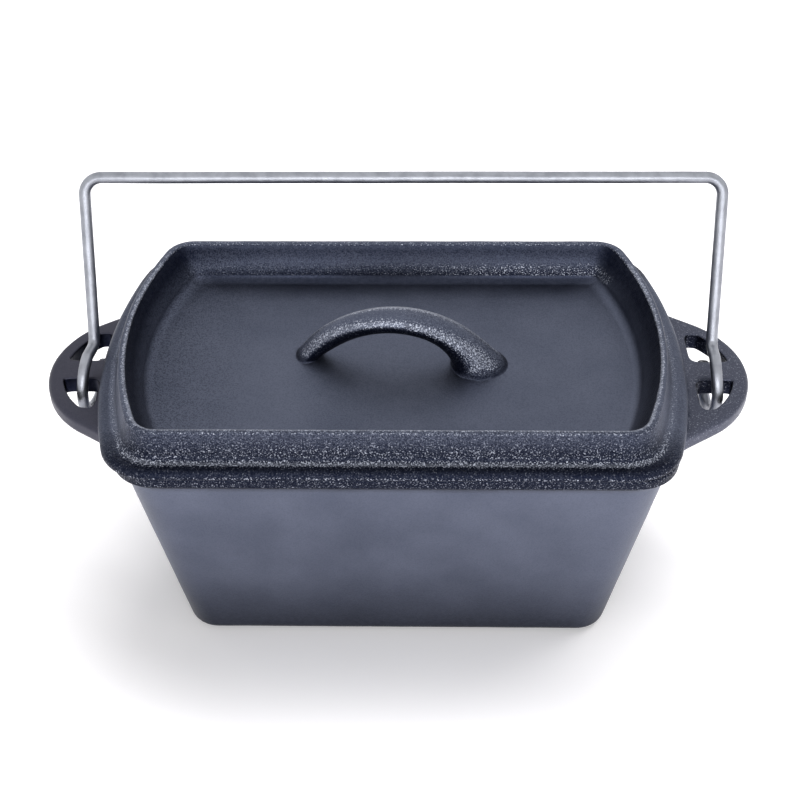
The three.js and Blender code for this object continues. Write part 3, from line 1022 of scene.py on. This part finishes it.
handle = {
    "halfSpan": 46.2,
    "rise": 25.4,
    "narrowWidth": 11.5,
    "wideWidth": 22,
    "thickness": 12.6,
    "narrowFlare": 5,
    "wideFlare": 14,
    "flareShare": 0.55,        # of the wide foot's flare that it also gains in thickness
    "narrowGain": -5,          # gained on the arch's inner side
    "wideGain": 23,
    "flarePower": 5,
    "gainPower": 2.6,
    "sideShift": 2.5,
    "turn": -5,
    "rootDepth": 3,
    "rootFillet": 1.4,
    "filletSink": 0.35,        # how far the fillet runs into the tray's floor
    "weldGap": 1e-5,
    "rings": 110,
    "sides": 56,
    "reach": (12, 20),         # past its span and from its middle, within which the handle stands
    "standRise": 0.6,          # over the floor, above which all there is handle
    "rootMargin": 0.5,         # below it, from where all that isn't flat is
    "flatFacing": 0.97,
    "grain": 1,
    "topSmoothing": 0.5,       # grain that its top loses
    "topFacing": (0.6, 0.85),
    # painted shade on the underside, the inward sides and the root
    "underShade": 0.98,
    "underFacing": (0.32, 0.08),
    "inwardFacing": (0.2, 0.6),
    "inwardX": 12,
    "rootShade": 0.85,
    "rootRise": (4, 1),
    "rootEdge": (-0.2, 0.25),
    # painted highlights and glints on the handle, fading near the tray's floor
    "highlightRise": (2, 5),
    "leastGlint": 0.12,
    "frontHighlight": 1.2,
    "frontFacing": (0.15, 0.6),
    "frontLow": (0.05, 0.35),  # how far up the front faces that get the painted highlight, at least
    "frontHigh": (0.9, 0.65),  # and at most
    "backHighlight": 1.6,
    "backFacing": (0, 0.25),
    "backLow": (0.2, 0.5),
}
lidUnder = pot["height"] + lid["seatGap"]
flangeTop = lidUnder + lid["flangeThickness"]
lidTop = flangeTop + lid["wallHeight"]
plateUnder = lidUnder - lid["plugDepth"]
trayFloor = plateUnder + lid["plate"]


# The plug follows the pot's mouth, and all above it follows the lip
def lidOutline(offset, z):
    if z < lidUnder or (z == lidUnder and offset <= 0):
        inset = pot["wall"] + lid["plugClearance"]
        return loafOutline(
            pot["halfLength"] - inset + offset,
            pot["halfWidth"] - inset + offset,
            pot["endBow"],
            pot["corner"],
        )
    return loafOutline(
        lid["halfLength"] + offset, lid["halfWidth"] + offset, lid["endBow"], lid["corner"] + offset)


def lidSection():
    edge = lid["flangeReach"] - lid["flangeRound"]
    foot = lid["wallLean"] + lid["wallFillet"]
    lip, rounding, tray = lid["lip"], lid["lipRound"], lid["trayFillet"]
    floorEdge = -lip - lid["trayLean"] - tray
    plug, under, sunk = lid["plugRound"], lid["underRound"], lid["plugGrain"]
    flange, wall, floor = lid["flangeGrain"], lid["wallGrain"], lid["trayGrain"]
    wearAndHighlight, innerWearAndHighlight = lid["lipWearAndHighlight"], lid["lipWearAndHighlight"] * lid["innerLipShare"]
    outer = joinRuns(
        arcRun(lid["flangeReach"] - under, lidUnder + under, under, -90, 0, flange),
        arcRun(edge, flangeTop - lid["flangeRound"], lid["flangeRound"], 0, 90, flange),
        arcRun(foot, flangeTop + lid["wallFillet"], lid["wallFillet"], 270, 180, flange),
        # the lip's rounded edges carry wear and a painted highlight
        arcRun(-rounding, lidTop - rounding, rounding, 0, 90, wall, 0, wearAndHighlight),
        arcRun(-lip + rounding, lidTop - rounding, rounding, 90, 180, wall, 0, innerWearAndHighlight),
        arcRun(floorEdge, trayFloor + tray, tray, 0, -90, floor)[:-1]
        + [(floorEdge, trayFloor, floor, 0)],
    )
    plugRun = joinRuns(
        arcRun(-plug, plateUnder + plug, plug, -90, 0, sunk),
        (0, lidUnder - lid["seamStep"], sunk, 0),
    )
    return plugRun + [(0, lidUnder, sunk, 0)] + outer


# Width and thickness of the arch, from -1 at its narrow foot to 1 at its wide one,
# and how much of the thickness is gained on the inner side
def archSize(along):
    share = (along + 1) / 2
    foot = abs(along) ** handle["flarePower"]
    narrowFlare = foot * handle["narrowFlare"] * (1 - share)
    wideFlare = foot * handle["wideFlare"] * share
    width = handle["narrowWidth"] * (1 - share) + handle["wideWidth"] * share
    gain = handle["narrowGain"] * (1 - share) + handle["wideGain"] * share
    gain *= abs(along) ** handle["gainPower"]
    thickness = handle["thickness"] + wideFlare * handle["flareShare"] + gain
    return width + narrowFlare + wideFlare, thickness, gain


def handleMesh():
    radius = (handle["halfSpan"] ** 2 + handle["rise"] ** 2) / (2 * handle["rise"])
    centreZ = trayFloor + handle["rise"] - radius
    endTurn = math.asin(handle["halfSpan"] / radius) + 2 * handle["rootDepth"] / radius
    count, sides, fillet = handle["rings"], handle["sides"], handle["rootFillet"]
    shape = bmesh.new()
    grainLayer = shape.verts.layers.float.new("grain")
    rings = []
    for i in range(count + 1):
        along = math.sin((2 * i / count - 1) * math.pi / 2)  # closer rings towards the feet
        width, thickness, gain = archSize(along)
        up = Vector((math.sin(endTurn * along), 0, math.cos(endTurn * along)))
        middle = up * (radius - gain / 2) + Vector((0, 0, centreZ))
        ring = []
        for j in range(sides):
            around = 2 * math.pi * j / sides
            spoke = up * (thickness / 2 * math.sin(around))
            spoke += Vector((0, width / 2 * math.cos(around), 0))
            point = middle + spoke
            height = point.z - trayFloor + handle["filletSink"]
            if height < fillet:
                out = Vector((spoke.x, spoke.y, 0)).normalized()
                drop = fillet - max(0, height)
                point += out * (fillet - math.sqrt(fillet**2 - drop**2))
            point.z = max(point.z, trayFloor - handle["rootDepth"])
            vertex = shape.verts.new(point)
            vertex[grainLayer] = handle["grain"]
            ring.append(vertex)
        rings.append(ring)
    skinTube(shape, rings)
    bmesh.ops.remove_doubles(shape, verts=shape.verts, dist=handle["weldGap"])
    bmesh.ops.recalc_face_normals(shape, faces=shape.faces)
    turn = Matrix.Rotation(math.radians(handle["turn"]), 4, "Z")
    place = Matrix.Translation((handle["sideShift"], 0, 0)) @ turn
    bmesh.ops.transform(shape, matrix=Matrix.Scale(mm, 4) @ place, verts=shape.verts)
    return addObject("archHandle", shape)


# Where a place lies by the handle: along its arch, across it, and how high over the tray's floor
def onArch(place):
    angle = math.radians(handle["turn"])
    x = (place.x - handle["sideShift"]) * math.cos(angle) + place.y * math.sin(angle)
    y = place.y * math.cos(angle) - (place.x - handle["sideShift"]) * math.sin(angle)
    return x, y, place.z - trayFloor


def isHandle(place, facing):
    x, y, rise = onArch(place)
    reachX, reachY = handle["reach"]
    isNear = abs(x) < handle["halfSpan"] + reachX and abs(y) < reachY
    isRoot = rise > -handle["rootMargin"] and facing.z < handle["flatFacing"]
    return isNear and (rise > handle["standRise"] or isRoot)


def pastLip(place):
    return pastLoaf(place, lid["halfLength"], lid["halfWidth"], lid["endBow"], lid["corner"])


def isInTray(place):
    return pastLip(place) < -lid["lipMargin"]


def isBackFoot(place):
    low, high = lid["backFoot"]
    return isInTray(place) and low < place.z - trayFloor < high and place.y > lid["sideY"][0]


# A share at the top of the raised wall's outside that grows to 1 at its foot
def downWall(place, topShare):
    drop, rise = lid["wallFade"]
    return topShare + (1 - topShare) * ramp(place.z, lidTop - drop, flangeTop + rise)


# Painted shade in the tray: on its end walls, the right one darkest, on its back wall, and where
# that wall meets the floor
def trayShade(place):
    if place.z < plateUnder + lid["plateMargin"]:
        return 0
    past = pastLip(place) + lid["lip"] + lid["trayLean"]
    rise = place.z - trayFloor
    low = lid["leftLow"] if place.x < 0 else lid["rightLow"]
    end = (low + (1 - low) * ramp(rise, *lid["endRise"])) * ramp(past, *lid["endPast"])
    end *= lid["rightShade"] if place.x > 0 else lid["leftShade"]
    if rise > lid["trayFillet"]:
        least, most = lid["backShade"]
        back = least + (most - least) * ramp(rise, *lid["backRise"])
    else:
        back = lid["footShade"] * ramp(past, *lid["footPast"]) ** lid["footPower"]
    back *= ramp(place.y, *lid["backY"])
    atEnd = ramp(abs(place.x) - abs(place.y), *lid["endFrom"])
    shade = end * atEnd + back * (1 - atEnd)
    return max(shade, lid["trayShade"]) * ramp(place.z, lidTop, lidTop - lid["lipFade"])


# Painted shade on the handle: on its underside, on the sides that face in from its feet, and low at
# its root
def handleShade(place, facing):
    x, _, rise = onArch(place)
    inward = 0
    if abs(x) > handle["inwardX"]:
        inward = ramp(-facing.x * math.copysign(1, x), *handle["inwardFacing"])
    under = ramp(facing.z, *handle["underFacing"])
    root = handle["rootShade"] * ramp(rise, *handle["rootRise"])
    return handle["underShade"] * max(under, inward, root) * ramp(rise, *handle["rootEdge"])


# Painted shade on the lid: the handle's and the tray's, and on the flange and the raised wall,
# heavier on the long sides than at the ends and least at the right end
def lidShade(place, facing, _before):
    if isHandle(place, facing):
        return handleShade(place, facing)
    if isInTray(place):
        return trayShade(place)
    side = ramp(abs(place.y), *lid["sideY"])
    if pastLip(place) > lid["flangeStart"] or place.z < flangeTop + lid["flangeMargin"]:
        atEnd = lid["rightShare"] if place.x > 0 else lid["leftShare"]
        return lid["flangeShade"] * (atEnd + (1 - atEnd) * side)
    return lid["wallShade"] * downWall(place, lid["wallShadeTop"]) * side


# Painted highlights on the handle: a band where its front faces the front lamp, a line along its
# back-top, and a few glints all over, fading near the tray's floor
def handleHighlight(place, facing):
    front = ramp(-facing.y, *handle["frontFacing"])
    front *= ramp(facing.z, *handle["frontLow"]) * ramp(facing.z, *handle["frontHigh"])
    back = ramp(facing.y, *handle["backFacing"]) * ramp(facing.z, *handle["backLow"])
    wornAndLit = max(handle["frontHighlight"] * front, handle["backHighlight"] * back, handle["leastGlint"])
    return wornAndLit * ramp(onArch(place)[2], *handle["highlightRise"])


# Wear and painted highlights on the lid: the handle's, a line at the foot of the tray's back wall,
# lines along the lip's inner edge, the raised wall's foot and the flange's edge, and glints on the
# wall and the flange; more of all in front
def lidWearAndHighlight(place, facing, before):
    if isHandle(place, facing):
        return handleHighlight(place, facing)
    if isBackFoot(place):
        left, right = lid["backHighlight"]
        return left + (right - left) * ramp(place.x, *lid["backHighlightX"])
    past = pastLip(place)
    share = lid["rearHighlightShare"]
    front = share + (1 - share) * ramp(-place.y, *lid["sideY"])
    if isInTray(place):
        if place.z < lidTop - lid["edgeDrop"] or past > -lid["lip"] + lid["lipRound"]:
            return before * front
        atFront, atEnd, atRear = lid["edgeWearAndHighlight"]
        sideY = lid["sideY"][0]
        return atFront if place.y < -sideY else atEnd if place.y < sideY else atRear
    foot = 0
    if place.z > flangeTop - lid["filletMargin"]:
        foot = ramp(past, *lid["filletStart"]) * ramp(past, *lid["filletEnd"])
    rim = ramp(abs(place.z - lidUnder - lid["rimRise"]), *lid["rimBlend"])
    wall = lid["flangeGlints"]
    if place.z > flangeTop + lid["wallStart"]:
        wall = lid["wallGlints"] * downWall(place, lid["wallGlintsTop"])
    return front * max(before, lid["filletHighlight"] * foot, lid["rimHighlight"] * rim, wall)


def lidGrain(place, facing, before):
    if isHandle(place, facing):
        return before * (1 - handle["topSmoothing"] * ramp(facing.z, *handle["topFacing"]))
    if isBackFoot(place):
        return lid["backGrain"]
    if isInTray(place) and place.z < lidTop - lid["trayDrop"]:
        return before + lid["endGrain"] * ramp(-place.x, *lid["endGrainX"])
    share = lid["rearGrainShare"]
    return before * (share + (1 - share) * ramp(-place.y, *lid["sideY"]))


def makeLid(iron):
    body = castLoft("lid_casting", lidSection(), lidOutline)
    fuse(body, [handleMesh()])
    paint(body, "paintedShade", lidShade)
    paint(body, "wearAndHighlight", lidWearAndHighlight)
    paint(body, "grain", lidGrain)
    unevenSkin(body, *lid["uneven"])
    body.data.transform(Matrix.Translation((lid["shiftX"] * mm, 0, 0)))
    finishMesh(body, iron)
    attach(body, "lid")
    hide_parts("lid")
    return body


lidCasting = makeLid(iron)
print("lid cast:", len(lidCasting.data.polygons), "faces")


# The bail: one galvanised wire, hooked round the bridge of each ear
bail = {
    "wire": 6,
    "halfSpan": 161.7,
    "height": 106.5,
    "lean": 20.4,
    "corner": 9,
    "sideShift": 2.9,
    "pivotZ": 124.2,
    "hookRadius": 17.5,
    "hookBend": 6,
    "hookEnd": 352,
    "hookOutboard": 5.4,
    "rightSides": (0, 0, 0.06, 0.24, 0.26, 0.2, 0.1, 0.02, 0),
    "leftSides": (0.12, 0.45, 0.72, 0.9, 1, 0.85, 0.5, 0.2, 0),
    "sides": 28,
    "bendSteps": 12,
    "stepLength": 2.5,
    "loopSteps": 9,            # from one of a hook's side shares to the next
    "bendTakes": 6,            # of them, which the bend into the shank takes up
    "endStep": 0.45,           # the cut ends are slightly rounded
    "endScale": 0.8,
    "endEdgeScale": 0.985,
    "wander": 0.22,            # the hand-bent top bar's small waves
    "waveSize": 55,
    "waveSeed": 4,             # keeps the waves the same in each run
    "waveMargin": 2,           # they stop this far from the shanks
    "thinning": 0.01,          # share of its radius by which the drawn wire varies
    "thinSize": 7,
    "shadeShare": 0.8,
    "downFacing": (0, 0.7),    # how far down a side with painted shade faces
    "sideShare": 0.8,          # of it, on sides that face along the pot
    "sideFacing": (0.6, 0.98),
    "markShare": 0.36,
    "markTurn": 1.6,           # size of the draw marks round the wire
    "markSize": 60,            # and along it
}


# Smooth curve through points, as the wire's former has it
def throughPoints(points, steps):
    ends = [points[0] * 2 - points[1], points[-1] * 2 - points[-2]]
    row = [ends[0]] + points + [ends[1]]
    made = []
    for a, b, c, d in zip(row, row[1:], row[2:], row[3:]):
        before, here, after = ((q - p).length ** 0.5 for p, q in ((a, b), (b, c), (c, d)))
        leave = ((b - a) / before - (c - a) / (before + here) + (c - b) / here) * here
        enter = ((c - b) / here - (d - b) / (here + after) + (d - c) / after) * here
        for i in range(steps):
            t = i / steps
            made.append(
                b
                + leave * t
                + (c * 3 - b * 3 - leave * 2 - enter) * t**2
                + (b * 2 - c * 2 + leave + enter) * t**3
            )
    return made + [points[-1]]


def bendBetween(start, corner, end, radius):
    backward, forward = (start - corner).normalized(), (end - corner).normalized()
    halfAngle = backward.angle(forward) / 2
    centre = corner + (backward + forward).normalized() * (radius / math.sin(halfAngle))
    reach = radius / math.tan(halfAngle)
    first, last = corner + backward * reach - centre, corner + forward * reach - centre
    sweep = first.angle(last)
    made = []
    for i in range(bail["bendSteps"] + 1):
        share = i / bail["bendSteps"]
        spoke = first * math.sin((1 - share) * sweep) + last * math.sin(share * sweep)
        made.append(centre + spoke / math.sin(sweep))
    return made


def halfWire(sides):
    lean = math.radians(bail["lean"])
    start, end = math.pi / 2 - lean, math.radians(bail["hookEnd"])
    marks = []
    last = len(sides) - 1
    for i, side in enumerate(sides):
        angle = start + (end - start) * i / last
        marks.append(Vector((
            bail["halfSpan"] + bail["hookOutboard"] * side,
            bail["hookRadius"] * math.cos(angle),
            bail["hookRadius"] * math.sin(angle),
        )))
    steps = bail["loopSteps"]
    loop = throughPoints(marks, steps)
    corner = Vector((
        bail["halfSpan"], bail["height"] * math.sin(lean), bail["height"] * math.cos(lean)))
    lower = bendBetween(loop[bail["bendTakes"]], loop[0], corner, bail["hookBend"])
    upper = bendBetween(loop[0], corner, Vector((0, corner.y, corner.z)), bail["corner"])
    return list(reversed(loop[steps:])) + lower + upper


def fillRuns(points, spacing):
    made = []
    for here, after in zip(points, points[1:]):
        count = max(1, round((after - here).length / spacing))
        made += [here.lerp(after, k / count) for k in range(count)]
    return made + [points[-1]]


# Draw marks along the wire, and duller zinc on the sides turned down or along the pot
def wireShadeAndMarks(place, facing, _before):
    side = bail["sideShare"] * ramp(abs(facing.x), *bail["sideFacing"])
    turned = max(ramp(-facing.z, *bail["downFacing"]), side)
    marks = noise.noise(facing * bail["markTurn"] + place / bail["markSize"])
    return min(1, max(0, bail["shadeShare"] * turned + bail["markShare"] * marks))


def makeBail(zinc):
    right = halfWire(bail["rightSides"])
    left = [Vector((-p.x, p.y, p.z)) for p in reversed(halfWire(bail["leftSides"]))]
    path = fillRuns(right + left, bail["stepLength"])
    shape = bmesh.new()
    side = Vector((0, 1, 0))
    radius = bail["wire"] / 2
    rings = []
    place = Vector((bail["sideShift"], 0, bail["pivotZ"]))
    total = len(path) - 1

    def addRing(point, along, scale):
        nonlocal side
        side = (side - along * side.dot(along)).normalized()
        up = along.cross(side)
        ring = []
        for j in range(bail["sides"]):
            around = 2 * math.pi * j / bail["sides"]
            spoke = side * math.cos(around) + up * math.sin(around)
            ring.append(shape.verts.new((point + place + spoke * radius * scale) * mm))
        rings.append(ring)

    noise.seed_set(bail["waveSeed"])
    for i, point in enumerate(path):
        along = (path[min(i + 1, total)] - path[max(i - 1, 0)]).normalized()
        if i in (0, total):
            inward = along * bail["endStep"] * (1 if i == 0 else -1)
            rounded = [(point, bail["endScale"]), (point + inward, bail["endEdgeScale"])]
            for spot, scale in rounded if i == 0 else reversed(rounded):
                addRing(spot, along, scale)
            continue
        wave = Vector()
        if abs(point.x) < bail["halfSpan"] - bail["waveMargin"]:
            wave = noise.noise_vector(point / bail["waveSize"]) * bail["wander"]
            wave.z = -abs(wave.z)  # only downward, so that the bail keeps its height
            wave -= along * wave.dot(along)
        thin = 1 + bail["thinning"] * (noise.noise(point / bail["thinSize"]) - 1)
        addRing(point + wave, along, thin)
    skinTube(shape, rings)
    bmesh.ops.recalc_face_normals(shape, faces=shape.faces)
    wire = addObject("bail_wire", shape)
    paint(wire, "shadeAndMarks", wireShadeAndMarks)
    finishMesh(wire, zinc)
    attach(wire, "bail")
    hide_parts("bail_handle")
    return wire


bailWire = makeBail(makeZinc("galvanisedWire"))
print("bail bent:", len(bailWire.data.polygons), "faces")
